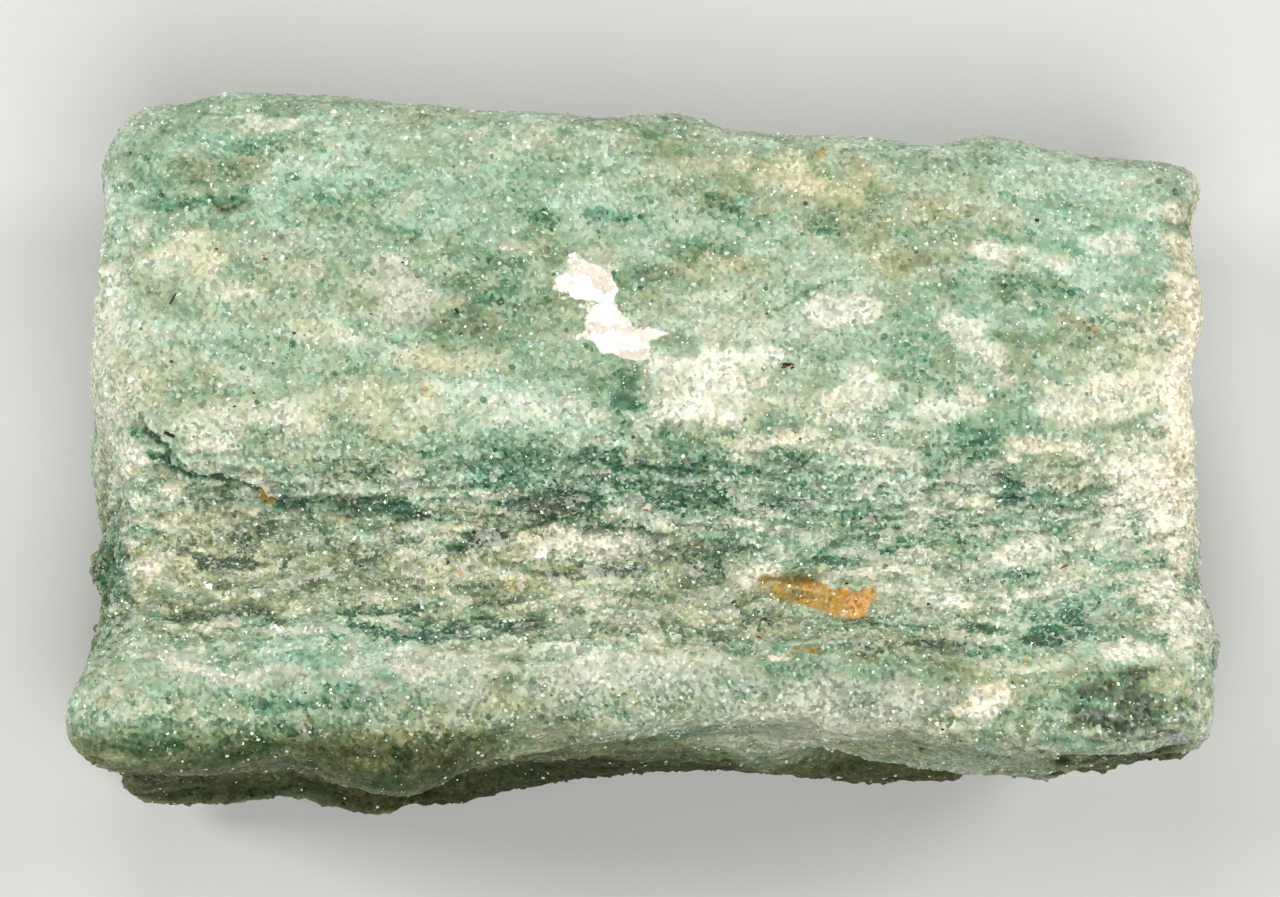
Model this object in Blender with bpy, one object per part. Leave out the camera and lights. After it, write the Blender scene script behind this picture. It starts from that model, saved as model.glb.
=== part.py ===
# Rough aventurine: one block of green quartzite, split along its layers and broken off on every side.
# It lies on its underside. X runs along the block, Y towards its back and Z up.
# Sizes are in millimetres until the mesh is made.

import random

import bmesh
import bpy
import numpy as np
from mathutils import Vector, noise

MM = 0.001

# Driving sizes of the block, and the cells of its surface along X, Y and Z.
LENGTH = 80.0
DEPTH = 46.0
HEIGHT = 27.5
EDGE_ROUNDING = 3.0
CELLS = (46, 28, 16)

# The corners of the cells are scattered by this share of a cell, so that the facets are uneven.
SCATTER = 0.3
SCATTER_SEED = 5

# The outline from above. The ends give X at each Y, the back and the front give Y at each X.
LEFT_END = (
    (-22.0, -38.5), (-18.0, -39.0), (-10.0, -38.0), (-4.0, -39.0), (4.0, -38.5), (14.0, -38.3),
    (24.0, -38.0),
)
RIGHT_END = (
    (-20.0, 38.5), (-14.0, 38.0), (-7.5, 37.5), (2.0, 37.3), (8.0, 38.2), (14.0, 36.7), (20.0, 38.0),
)
BACK = (
    (-37.0, 24.5), (-30.0, 24.2), (-18.0, 22.5), (3.0, 21.7), (9.0, 21.3), (14.0, 20.5), (20.0, 19.6),
    (28.0, 20.5), (39.0, 19.0),
)
FRONT = (
    (-40.0, -23.0), (-34.0, -23.0), (-26.0, -22.3), (-17.5, -24.8), (-13.0, -21.8), (-5.0, -21.2),
    (5.0, -20.4), (18.0, -20.4), (28.0, -22.0), (32.0, -21.3), (39.0, -22.2),
)

# The upper side, as a profile from front to back: a rounded ridge, a trough and the broad face behind it.
TOP_PROFILE = (
    (-24.0, 23.6), (-20.0, 25.4), (-17.0, 26.0), (-14.5, 25.3), (-12.0, 24.1), (-9.0, 23.7),
    (-6.5, 24.4), (-3.5, 26.2), (-0.5, 27.4), (5.0, 27.5), (12.0, 27.3), (18.0, 26.6), (24.0, 25.0),
)
TROUGH_FLOOR = 27.3
TROUGH_SHARE = ((-40.0, 0.85), (-20.0, 1.0), (5.0, 1.1), (25.0, 0.75), (40.0, 0.6))

# How much higher or lower the upper side is along the block.
TOP_ALONG = ((-40.0, -1.0), (-24.0, 0.1), (-8.0, 0.4), (12.0, 0.0), (28.0, -0.8), (40.0, -2.0))

# A lip of the broad face ends in a small ledge over the trough, near the left end.
LEDGE_LINE = ((-36.0, -0.8), (-33.0, -2.4), (-30.0, -3.4), (-27.0, -3.8), (-23.5, -5.0), (-20.0, -6.0))
LEDGE_SPAN = (-36.0, -21.0)
LEDGE_DROP = 1.2
LEDGE_WIDTH = 1.1
LEDGE_REACH = 7.0

# The flat spot that the block rests on is where the underside is cut off at zero height.
UNDERSIDE_BELOW = 0.9

# Local swellings and hollows: centre, reach along each axis, and how far the surface is pushed.
LUMPS = (
    # knob at the left end of the front ridge, and the notch under it
    ((-38.5, -18.0, 20.0), (4.5, 4.0, 6.0), (-1.1, -0.2, 0.3)),
    ((-39.0, -23.0, 12.0), (3.5, 3.0, 4.0), (0.7, 0.0, 0.0)),
    # dark hollow in the front, left of the middle, and the foot below it
    ((-25.0, -23.5, 13.0), (7.5, 5.0, 6.0), (0.0, 2.4, 0.0)),
    ((-22.0, -23.0, 4.0), (10.0, 4.0, 4.0), (0.0, -0.8, 0.0)),
    # swelling of the front, right of the middle
    ((19.0, -21.5, 15.0), (9.0, 5.0, 9.0), (0.0, -0.8, 0.0)),
    # recess at the right of the front
    ((34.0, -20.5, 13.0), (4.5, 5.0, 7.0), (0.0, 0.5, 0.0)),
    # swelling at the right end of the front ridge
    ((38.5, -14.5, 18.0), (4.0, 6.0, 8.0), (1.0, 0.0, 0.0)),
    # lip at the back right corner
    ((38.5, 18.0, 22.5), (3.0, 3.0, 4.0), (1.3, 0.3, 0.0)),
    # saddle in the left end, where the trough runs out
    ((-37.5, -8.0, 20.0), (4.0, 5.0, 9.0), (0.7, 0.0, 0.0)),
    # hollows in the back and under the right end
    ((4.0, 22.0, 9.0), (11.0, 5.0, 5.0), (0.0, -2.2, 0.0)),
    ((31.0, 3.0, 0.0), (7.0, 9.0, 6.0), (0.0, 0.0, 1.6)),
)

# Flat breaks: a point on each, the direction that it faces, and how far from that point it reaches.
# What stands out past a break is taken back to it.
BREAKS = (
    # upper edge of the right end, and the end below it
    ((36.8, 5.0, 25.4), (0.62, 0.04, 0.78), 17.0),
    ((38.4, 9.0, 11.0), (1.0, 0.12, -0.3), 24.0),
    ((38.8, -13.0, 9.0), (1.0, -0.16, -0.2), 16.0),
    # upper edge of the left end, and the end below it
    ((-36.6, -6.0, 23.6), (-0.8, -0.06, 0.6), 10.0),
    ((-36.8, 11.0, 25.6), (-0.5, 0.0, 0.86), 14.0),
    ((-37.8, 12.0, 10.0), (-1.0, 0.22, -0.24), 22.0),
    ((-38.4, -9.0, 8.0), (-1.0, -0.1, -0.36), 14.0),
    # corner at the back left
    ((-37.0, 22.6, 20.0), (-0.74, 0.66, 0.14), 12.0),
    # back
    ((-26.0, 22.6, 12.0), (-0.12, 1.0, -0.2), 17.0),
    ((0.0, 23.2, 18.0), (0.04, 1.0, 0.18), 19.0),
    ((12.0, 19.6, 7.0), (0.1, 1.0, -0.5), 20.0),
    ((33.0, 19.6, 15.0), (0.16, 1.0, -0.1), 13.0),
    # front
    ((-6.0, -22.4, 8.0), (-0.05, -1.0, 0.1), 15.0),
    ((16.0, -20.9, 5.0), (0.1, -1.0, -0.5), 14.0),
    # underside, rising to the ends, the back and the front
    ((-17.0, 0.0, 0.0), (-0.25, 0.05, -1.0), 60.0),
    ((19.0, 4.0, 0.0), (0.27, 0.06, -1.0), 60.0),
    ((0.0, -10.5, 0.0), (0.03, -0.34, -1.0), 60.0),
    ((-6.0, 10.5, 0.0), (-0.05, 0.4, -1.0), 60.0),
    # lower corners
    ((-34.0, 16.0, 5.0), (-0.5, 0.6, -0.8), 15.0),
    ((34.0, 15.0, 6.0), (0.55, 0.5, -0.72), 16.0),
    ((31.0, -18.0, 5.0), (0.5, -0.5, -0.7), 12.0),
)
BREAK_FADE = 4.0

# Layers of the quartzite show as ledges round the sides: the height of each, and how far it is set back.
LAYERS = ((5.5, -0.8), (10.5, 0.9), (15.0, -0.7), (20.5, 0.6))
LAYER_SOFTNESS = 0.9
LAYER_WAVES = 4.0
LAYER_WAVE_LENGTH = 26.0
LAYER_CHANGE = 1.2
LAYER_CHANGE_LENGTH = 17.0

# Stepped, splintery breaks: the size of the splinters, how far they stand out and how steeply they tilt.
# They are long along the block, flat across the layers, and weaker on the smoother upper side.
SPLINTERS = ((10.5, 0.6, 0.11), (5.0, 0.32, 0.12))
SPLINTER_SHAPE = (1.5, 1.0, 0.6)
TOP_SHARE = 0.25

# Gentle unevenness: wave length and height of each size.
WAVES = ((14.0, 0.6), (6.0, 0.3))

# How far worn edges are drawn in, as a share of the way to their neighbours.
WEAR = 0.35


def at(stations, position):
    """The value at a position between stations."""
    places, values = zip(*stations)
    return float(np.interp(position, places, values))


def eased(share):
    """0 up to 0, 1 from 1, and a smooth rise between them."""
    share = min(max(share, 0.0), 1.0)
    return share * share * (3.0 - 2.0 * share)


def between(low, high, share):
    """The value between low and high for a share from -1 to 1."""
    return low + (high - low) * (share + 1.0) / 2.0


def rounded_block_point(corner):
    """A point of the cube from -1 to 1, moved to the same cube with the block's edge rounding."""
    half = Vector((LENGTH, DEPTH, HEIGHT)) / 2.0
    point = Vector(c * h for c, h in zip(corner, half))
    inner = Vector(min(max(p, EDGE_ROUNDING - h), h - EDGE_ROUNDING) for p, h in zip(point, half))
    point = inner + (point - inner).normalized() * EDGE_ROUNDING
    return Vector(p / h for p, h in zip(point, half))


def ledge_drop(x, y):
    """How far the surface drops in front of the lip, fading out along the ledge and towards the trough."""
    ahead = at(LEDGE_LINE, x) - y
    start, end = LEDGE_SPAN
    along = eased((x - start) / 3.0) * eased((end - x) / 3.0)
    return LEDGE_DROP * along * eased(ahead / LEDGE_WIDTH) * (1.0 - eased(ahead / LEDGE_REACH))


def top_height(x, y):
    """The height of the upper side above the surface that the block rests on."""
    height = at(TOP_PROFILE, y)
    if height < TROUGH_FLOOR and y < 0.0:
        height = TROUGH_FLOOR - (TROUGH_FLOOR - height) * at(TROUGH_SHARE, x)
    return height + at(TOP_ALONG, x) - ledge_drop(x, y)


def placed(share):
    """A point of the rounded cube moved to its place in the block's outline, between its top and underside."""
    x = between(-LENGTH / 2.0, LENGTH / 2.0, share.x)
    y = between(at(FRONT, x), at(BACK, x), share.y)
    x = between(at(LEFT_END, y), at(RIGHT_END, y), share.x)
    return Vector((x, y, between(-UNDERSIDE_BELOW, top_height(x, y), share.z)))


def pushed(point):
    """The point after every lump has pushed it."""
    moved = point.copy()
    for centre, reach, push in LUMPS:
        away = sum(((p - c) / r) ** 2 for p, c, r in zip(point, centre, reach))
        moved += Vector(push) * float(np.exp(-away))
    return moved


def broken(point):
    """The point taken back to the flat breaks that it stands out past."""
    for place, facing, reach in BREAKS:
        normal = Vector(facing).normalized()
        away = point - Vector(place)
        past = away.dot(normal)
        if past > 0.0:
            point = point - normal * past * eased((reach - away.length) / BREAK_FADE)
    return point


def layer_offset(point):
    """How far the layers set the side of the block out or back at this height."""
    height = point.z + LAYER_WAVES * noise.noise(point / LAYER_WAVE_LENGTH)
    change = 1.0 + LAYER_CHANGE * noise.noise(point / LAYER_CHANGE_LENGTH)
    return change * sum(step * eased((height - level) / LAYER_SOFTNESS) for level, step in LAYERS)


def splinter_offset(point):
    """How far the stepped breaks set the surface out or back at this point."""
    offset = 0.0
    for size, step, tilt in SPLINTERS:
        spread = Vector(p / s / size for p, s in zip(point, SPLINTER_SHAPE))
        centre = noise.voronoi(spread)[1][0]
        chance = noise.cell_vector(centre) * 2.0 - Vector((1.0, 1.0, 1.0))
        offset += step * chance.x + tilt * size * chance.dot(spread - centre)
    return offset


def wave_offset(point):
    """The height of the gentle unevenness at this point."""
    return sum(height * noise.noise(point / wave) for wave, height in WAVES)


def scattered_cube():
    """The cube from -1 to 1 as a grid of cells with scattered corners, whose edges stay straight."""
    bm = bmesh.new()
    bmesh.ops.create_cube(bm, size=2.0)
    for axis, cells in enumerate(CELLS):
        along = [e for e in bm.edges if abs((e.verts[0].co - e.verts[1].co)[axis]) > 1.0e-6]
        bmesh.ops.subdivide_edges(bm, edges=along, cuts=cells - 1, use_grid_fill=True)
    chance = random.Random(SCATTER_SEED)
    for vert in bm.verts:
        for axis, cells in enumerate(CELLS):
            if abs(vert.co[axis]) < 0.999:
                vert.co[axis] += chance.uniform(-SCATTER, SCATTER) * 2.0 / cells
    return bm


def block_mesh():
    """The scattered cube shaped into the block, with its flat spot at zero height."""
    bm = scattered_cube()
    for vert in bm.verts:
        vert.co = broken(pushed(placed(rounded_block_point(vert.co))))
    bm.normal_update()
    moves = {}
    for vert in bm.verts:
        sideways = Vector((vert.normal.x, vert.normal.y, 0.0))
        calm = 1.0 - (1.0 - TOP_SHARE) * eased(vert.normal.z)
        uneven = splinter_offset(vert.co) * calm + wave_offset(vert.co)
        moves[vert] = sideways * layer_offset(vert.co) + vert.normal * uneven
    for vert, move in moves.items():
        vert.co += move
    bmesh.ops.smooth_vert(bm, verts=bm.verts, factor=WEAR, use_axis_x=True, use_axis_y=True, use_axis_z=True)
    for vert in bm.verts:
        vert.co.z = max(vert.co.z, 0.0)
    bmesh.ops.triangulate(bm, faces=bm.faces, quad_method="SHORT_EDGE")
    return bm


def centred(bm):
    """Moves the block so that the middle of its outline is over the origin."""
    for axis in (0, 1):
        places = [v.co[axis] for v in bm.verts]
        middle = (min(places) + max(places)) / 2.0
        for vert in bm.verts:
            vert.co[axis] -= middle


def quartzite():
    """Pale green quartzite with a dull, sugary break."""
    material = bpy.data.materials.new("green quartzite")
    material.use_nodes = True
    shader = material.node_tree.nodes["Principled BSDF"]
    shader.inputs["Base Color"].default_value = (0.42, 0.5, 0.36, 1.0)
    shader.inputs["Roughness"].default_value = 0.55
    shader.inputs["Metallic"].default_value = 0.0
    return material


def make_stone():
    """The whole stone, one solid."""
    bm = block_mesh()
    centred(bm)
    bmesh.ops.scale(bm, vec=(MM, MM, MM), verts=bm.verts)
    bmesh.ops.recalc_face_normals(bm, faces=bm.faces)
    mesh = bpy.data.meshes.new("aventurine_stone")
    bm.to_mesh(mesh)
    bm.free()
    mesh.materials.append(quartzite())
    stone = bpy.data.objects.new("aventurine_stone", mesh)
    bpy.context.scene.collection.objects.link(stone)


for leftover in list(bpy.data.objects):
    bpy.data.objects.remove(leftover)
make_stone()
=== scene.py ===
import math

import bmesh
import bpy
import numpy as np
from mathutils import Euler, Matrix, Vector, noise
from mathutils.bvhtree import BVHTree


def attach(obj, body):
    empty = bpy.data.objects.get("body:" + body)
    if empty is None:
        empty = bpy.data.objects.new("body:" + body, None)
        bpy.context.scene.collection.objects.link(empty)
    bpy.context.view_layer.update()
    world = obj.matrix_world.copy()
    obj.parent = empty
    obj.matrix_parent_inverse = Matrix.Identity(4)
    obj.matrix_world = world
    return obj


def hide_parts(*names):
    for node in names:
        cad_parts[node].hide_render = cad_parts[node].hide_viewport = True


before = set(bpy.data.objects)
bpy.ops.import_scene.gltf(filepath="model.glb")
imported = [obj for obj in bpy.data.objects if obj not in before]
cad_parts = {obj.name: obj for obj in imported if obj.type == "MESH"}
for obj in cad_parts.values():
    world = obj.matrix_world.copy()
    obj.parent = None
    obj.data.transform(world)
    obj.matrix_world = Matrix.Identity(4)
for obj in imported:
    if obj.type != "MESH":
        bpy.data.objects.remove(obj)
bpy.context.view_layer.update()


# Camera
# A long lens looks down on the broad face from just in front of straight above, as
# the stone was photographed. The stone fills most of the 1280 by 897 frame.
AIM = Vector((-0.0003, 0.00085, 0.01415))
CAMERA_DISTANCE = 0.493
CAMERA_ELEVATION = math.radians(80)


def put_in_scene(name, data):
    """A new object in the scene for a mesh, a camera or a light."""
    thing = bpy.data.objects.new(name, data)
    bpy.context.scene.collection.objects.link(thing)
    return thing


camera_data = bpy.data.cameras.new("specimen_camera")
camera_data.lens = 200
camera_data.sensor_width = 36
camera = put_in_scene("specimen_camera", camera_data)
camera_side = Vector((0, -math.cos(CAMERA_ELEVATION), math.sin(CAMERA_ELEVATION)))
camera.location = AIM + CAMERA_DISTANCE * camera_side
camera.rotation_euler = camera_side.to_track_quat("Z", "Y").to_euler()
bpy.context.scene.camera = camera


# Stone, shape
# A hand specimen of aventurine: quartzite, which is sand baked under pressure into
# interlocking quartz grains, with green mica along its layers. It was broken out of a
# bed, so its faces are rough breaks that follow the layers or cut across them.
MM = 0.001

# The longest edges that the mesh keeps on each side, and how high the rest spot reaches, in mm
TOP_EDGE_LIMIT = 0.50
SLOPE_EDGE_LIMIT = 0.36
SIDE_EDGE_LIMIT = 0.72
UNDER_EDGE_LIMIT = 1.0
REST_HEIGHT = 0.05
REFINE_PASSES = 5


def eased(value, low, high):
    """0 below low, 1 above high, and a smooth rise between them."""
    share = np.clip((value - low) / (high - low), 0, 1)
    return share * share * (3 - 2 * share)


def lumps(places, size, seed, octaves=1):
    """Smooth noise, about -1 to 1, whose lumps have this size in mm along X, Y and Z."""
    shift = (seed * 17.3, seed * 9.1, seed * 31.7)
    scaled = (places / np.array(size) + np.array(shift)).tolist()
    return np.array([noise.fractal(p, 1.0, 2.0, octaves) for p in scaled])


def shifts(places, size, seeds, octaves):
    """Smooth shifts along X, Y and Z, each about -1 to 1."""
    return np.stack([lumps(places, size, seed, octaves) for seed in seeds], axis=1)


def bedded(places):
    """The places with the layers' gentle folds taken out, so that a layer is a level."""
    fold = 1.1 * lumps(places, (24, 15, 15), 3) + 0.35 * lumps(places, (7, 4, 5), 4)
    flat = places.copy()
    flat[:, 2] += fold + 0.05 * places[:, 1]
    return flat


def refine(bm, passes):
    """Splits the edges that are too long for their place, and softens the old facets."""
    for _ in range(passes):
        too_long = []
        for edge in bm.edges:
            middle = (edge.verts[0].co + edge.verts[1].co) / (2 * MM)
            facing = edge.verts[0].normal.z + edge.verts[1].normal.z
            limit = SIDE_EDGE_LIMIT
            if facing > 0.5 and middle.z > 14:
                limit = SLOPE_EDGE_LIMIT if -17 < middle.y < 0.5 else TOP_EDGE_LIMIT
            elif facing < -1.0:
                limit = UNDER_EDGE_LIMIT
            if edge.calc_length() > limit * MM:
                too_long.append(edge)
        if not too_long:
            break
        bmesh.ops.subdivide_edges(bm, edges=too_long, cuts=1)
        bmesh.ops.triangulate(bm, faces=[f for f in bm.faces if len(f.verts) > 3])
        free = [v for v in bm.verts if v.co.z > REST_HEIGHT * MM]
        bmesh.ops.smooth_vert(bm, verts=free, factor=0.5, use_axis_x=True,
                              use_axis_y=True, use_axis_z=True)


def places_of(mesh):
    """The mesh's points in mm."""
    flat = np.empty(len(mesh.vertices) * 3)
    mesh.vertices.foreach_get("co", flat)
    return flat.reshape(-1, 3) / MM


def normals_of(mesh):
    """The mesh's normals at its points."""
    flat = np.empty(len(mesh.vertices) * 3)
    mesh.vertex_normals.foreach_get("vector", flat)
    return flat.reshape(-1, 3)


def move_out(mesh, distance):
    """Moves each point along its normal by its distance in mm, but leaves the rest spot."""
    places = places_of(mesh)
    free = eased(places[:, 2], 0.05, 1.2)
    places += normals_of(mesh) * (distance * free)[:, None]
    places[:, 2] = np.maximum(places[:, 2], 0)
    mesh.vertices.foreach_set("co", (places * MM).ravel())
    mesh.update()


def shingles(level, step, riser):
    """The offset of a stack of broken sheets: even treads with short steep risers."""
    part = level / step - np.floor(level / step)
    return (eased(part, 0.5 - riser, 0.5 + riser) - part) * step


def line_offset(places, line):
    """The distance in mm to a line seen from above, and how far past it a place lies."""
    best = np.full(len(places), 1e9)
    side = np.zeros(len(places))
    for start, end in zip(line[:-1], line[1:]):
        run = np.array(end) - np.array(start)
        away = places[:, :2] - np.array(start)
        share = np.clip((away @ run) / (run @ run), 0, 1)
        off = away - share[:, None] * run
        distance = np.hypot(off[:, 0], off[:, 1])
        nearer = distance < best
        best = np.where(nearer, distance, best)
        across = (run[0] * away[:, 1] - run[1] * away[:, 0]) / math.hypot(*run)
        side = np.where(nearer, across, side)
    return best, side


bm = bmesh.new()
bm.from_mesh(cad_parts["aventurine_stone"].data)
bmesh.ops.remove_doubles(bm, verts=bm.verts, dist=1e-6)
bm.normal_update()
refine(bm, REFINE_PASSES)
stone_mesh = bpy.data.meshes.new("quartzite_stone")
bm.to_mesh(stone_mesh)
bm.free()
for face in stone_mesh.polygons:
    face.use_smooth = True

# Slow swells that take the last straight facets away
places = places_of(stone_mesh)
is_side = 1 - eased(np.abs(normals_of(stone_mesh)[:, 2]), 0.6, 0.95)
move_out(stone_mesh, (0.16 - 0.11 * is_side) * lumps(places, (8, 6, 5), 11, 2))

# The broken ends of the layers, as stacked sheets on the slopes and the sides
LEDGE = ((-33.4, 0.0), (-32.3, -1.0), (-32.0, -2.2), (-30.6, -2.7), (-28.8, -3.0), (-27.0, -3.4),
         (-25.4, -4.4), (-23.2, -4.7))
places = places_of(stone_mesh)
bed = bedded(places)
is_top = eased(places[:, 2], 14, 20)
on_slope = np.clip(eased(-places[:, 1], -1.0, 3.0) * eased(places[:, 1], -17.5, -14.5), 0, 1)
ragged = lumps(places, (4.5, 1.8, 1.8), 21, 4)
chipped = lumps(places, (2.6, 0.9, 0.9), 22, 3)
coarse_level = bed[:, 2] + 0.9 * ragged
fine_level = bed[:, 2] + 0.5 * ragged + 0.45 * chipped
COARSE_SHEET = 0.8
FINE_SHEET = 0.34
sheet_share = np.where(is_top > 0.5, 0.12 + 0.53 * on_slope, 0.5)
fibres = 0.12 * lumps(places, (5, 0.7, 0.6), 23, 2) * (0.2 + 0.8 * on_slope)
relief = fibres + sheet_share * (0.55 * shingles(coarse_level, COARSE_SHEET, 0.10)
                                 + 0.85 * shingles(fine_level, FINE_SHEET, 0.14))


def sheet_tone(places, level, step, size, seed):
    """A tone from -1 to 1 that changes slowly in a sheet and jumps from sheet to sheet."""
    sheet = places / np.array((size, 0.5 * size, 1))
    sheet[:, 2] = 7.3 * np.floor(level / step + 0.5)
    return lumps(sheet, (1, 1, 1), seed, 2)


coarse_tone = sheet_tone(places, coarse_level, COARSE_SHEET, 9, 24)
fine_tone = sheet_tone(places, fine_level, FINE_SHEET, 4, 25)

# The open ledge at the left end of the lip, and the short step on the broad face
LEDGE_REACH = 1.1
LEDGE_HEIGHT = 0.85
LEDGE_DEPTH = 0.55
jagged = places + 0.45 * shifts(places, (1.6, 1.2, 1.2), (26, 27, 28), 3)
near_ledge, above_ledge = line_offset(jagged, LEDGE)
ledge_fade = np.exp(-(near_ledge / LEDGE_REACH) ** 2) * is_top
relief += ledge_fade * (LEDGE_HEIGHT * eased(above_ledge, -0.2, 0.2) - LEDGE_DEPTH)
STEP_X = 0.4
STEP_WIDTH = 0.12
STEP_REACH = 5.0
STEP_HEIGHT = 0.42
step_rise = eased(places[:, 0], STEP_X - STEP_WIDTH, STEP_X + STEP_WIDTH)
step_rise *= np.exp(-((places[:, 0] - STEP_X) / STEP_REACH) ** 2)
step_span = eased(places[:, 1], -0.4, 0.6) * (1 - eased(places[:, 1], 5.0, 6.2))
relief += STEP_HEIGHT * step_rise * step_span * is_top
move_out(stone_mesh, relief)

# Sugary grains, about a millimetre across, that scallop every edge
GRAIN_SIZE = 0.95
places = places_of(stone_mesh)
grain_places = (places / GRAIN_SIZE).tolist()
nearest = np.array([noise.voronoi(p)[0][0] for p in grain_places])
crumb = lumps(places, (0.9, 0.8, 0.8), 31, 2)
off_ends = 1 - eased(np.abs(places[:, 0]), 34, 37)
off_front = 1 - eased(-places[:, 1], 17, 20)
on_rim = 1 - 0.55 * is_top * off_ends * off_front
move_out(stone_mesh, on_rim * (0.30 * (0.42 - nearest) + 0.09 * crumb))


# Stone, minerals
# Where the quartz is milky, where green mica colours it, and where iron has stained it,
# and in a few pale rows where painted light brightens it. Each row is a patch seen from
# above, in mm: its place, its half length and half width, its turn in degrees and its strength.
PALE_ZONES = (
    # The first two rows brighten the left end: partly pale quartz, partly painted light.
    (-37.2, 5, 2.0, 9, 0, 0.55), (-36.0, 4, 4.5, 11, 0, 0.35), (-31.2, 11.7, 2.8, 1.6, -5, 0.42),
    (-34.2, 13.6, 1.4, 0.6, 0, 0.45), (-33.4, 8.0, 2.4, 1.6, 0, 0.35), (-25, 21.6, 2.6, 0.6, 0, 0.6),
    (-21.4, 6.2, 2.4, 1.0, 0, 0.4), (-22.0, 18.9, 1.8, 0.6, 0, 0.2), (-15.6, 15.3, 1.2, 1.0, 0, 0.35),
    (-12, 4.2, 5.4, 0.9, -3, 0.25), (-17.3, 9.6, 1.9, 2.2, 0, 0.42), (4.4, 3.5, 5.0, 2.7, 8, 0.62),
    (5.6, 1.9, 2.6, 1.4, -25, 0.4), (7, 7.3, 4.8, 2.0, 5, 0.45), (8.5, 1.2, 9.0, 2.2, 0, 0.25),
    (10.5, 17.2, 3.2, 1.8, 0, 0.42), (13.6, 7.6, 2.0, 1.2, 8, 0.85), (14.2, 1.6, 2.9, 1.6, 25, 0.6),
    (20.2, 1.6, 3.0, 1.7, 25, 0.55), (22.8, 6.2, 2.2, 1.6, -45, 0.72), (23.1, 12.1, 1.7, 1.1, 0, 0.85),
    (27.6, 11.6, 2.2, 0.7, -14, 0.6), (32.0, 12.8, 1.5, 1.2, 0, 0.55), (29.8, 1.7, 4.2, 1.6, 6, 0.62),
    # The first two rows here brighten the right end: partly pale quartz, partly painted light where the end
    # glows.
    (38.0, 4.0, 3.0, 11.5, 0, 0.95), (37.0, 3, 5.5, 12, 0, 0.5), (35.8, -4.4, 4.6, 3.4, 15, 1.2),
    (-14, 1.3, 12, 1.5, 0, 0.45), (18, -3.0, 10, 2.6, 0, 0.2), (30, -7, 6.5, 3.4, 0, 0.4),
    (34.8, -10.4, 3.0, 1.2, 5, 0.72), (36.6, -12.4, 2.0, 2.6, 0, 0.9), (-34.2, -2.1, 2.0, 1.2, 0, 0.72),
    (-29.2, -0.9, 2.4, 0.7, -5, 0.5), (-27.5, 0.4, 5, 0.7, 0, 0.5), (-32, -5.6, 2.6, 0.9, 0, 0.45),
    (-34.5, -9, 1.6, 1.0, 0, 0.55), (-30.2, -13.2, 2.8, 0.4, 0, 0.7), (-28, -16.5, 5.6, 0.5, 0, 0.5),
    (-14.3, -15.8, 5.4, 1.7, 2, 0.55), (-10, -4.25, 1.1, 0.4, 5, 0.8), (-2.2, -5.4, 2.1, 0.45, 0, 0.75),
    (-6.4, -6.8, 2.0, 0.55, 0, 0.8), (-3.2, -7.9, 3.2, 0.65, 3, 0.85), (6.7, -9.5, 2.0, 0.55, 6, 0.9),
    (8.9, -6.3, 3.0, 0.8, -6, 0.5), (-4.8, -11.3, 3.5, 0.6, 4, 0.5), (0.4, -15.6, 5.5, 1.0, 0, 0.45),
    (14.6, -9.4, 2.6, 0.7, 0, 0.65), (18.3, -5.3, 1.9, 0.6, 0, 0.5), (20.4, -4.5, 0.8, 0.5, 0, 0.8),
    (24.8, -8.2, 1.7, 0.45, 0, 0.7), (19.0, -10.6, 5.0, 0.8, 0, 0.45), (27.5, -10.8, 4, 0.5, 12, 0.7),
    (25.2, -15.8, 3.0, 0.6, 5, 0.45), (23.3, -18.6, 2.0, 1.5, 0, 0.95), (11.0, -18.4, 3.4, 1.3, 0, 0.4),
    (33.4, -15.6, 3.0, 0.8, -8, 0.6), (-9.7, -12.2, 2.0, 0.6, 0, 0.5), (24.5, -4.6, 4, 1.1, 0, 0.42),
    (30, -3.7, 3.4, 1.2, 0, 0.5), (3.5, 18.0, 3.5, 1.3, 0, 0.45), (-28.5, 9.3, 5.0, 1.1, 0, 0.32),
    (-25.5, 1.2, 4.0, 0.8, 0, 0.5), (-28.5, 4.4, 3.0, 0.9, 0, 0.4), (-32.5, 4.0, 1.8, 1.0, 0, 0.4),
    (-32.6, -4.6, 1.5, 0.8, 0, 0.45), (-32.5, -12.5, 1.8, 0.6, 0, 0.5), (14, -20.3, 9, 1.0, 0, 0.35),
    # The last four rows, at y -1 to -2.2 from x 8 to 32.5, lighten the roll-over into the slope: painted
    # light that evens out its shade.
    (-4, -20.3, 5, 0.8, 0, 0.3), (26, -20.4, 3, 0.8, 0, 0.3), (8.0, -1.0, 5.0, 0.9, 3, 0.55),
    (14.5, -1.3, 4.0, 1.0, -4, 0.6), (27.0, -1.5, 4.6, 1.1, 5, 0.65), (32.5, -2.2, 2.4, 1.4, 0, 0.6),
)
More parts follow.
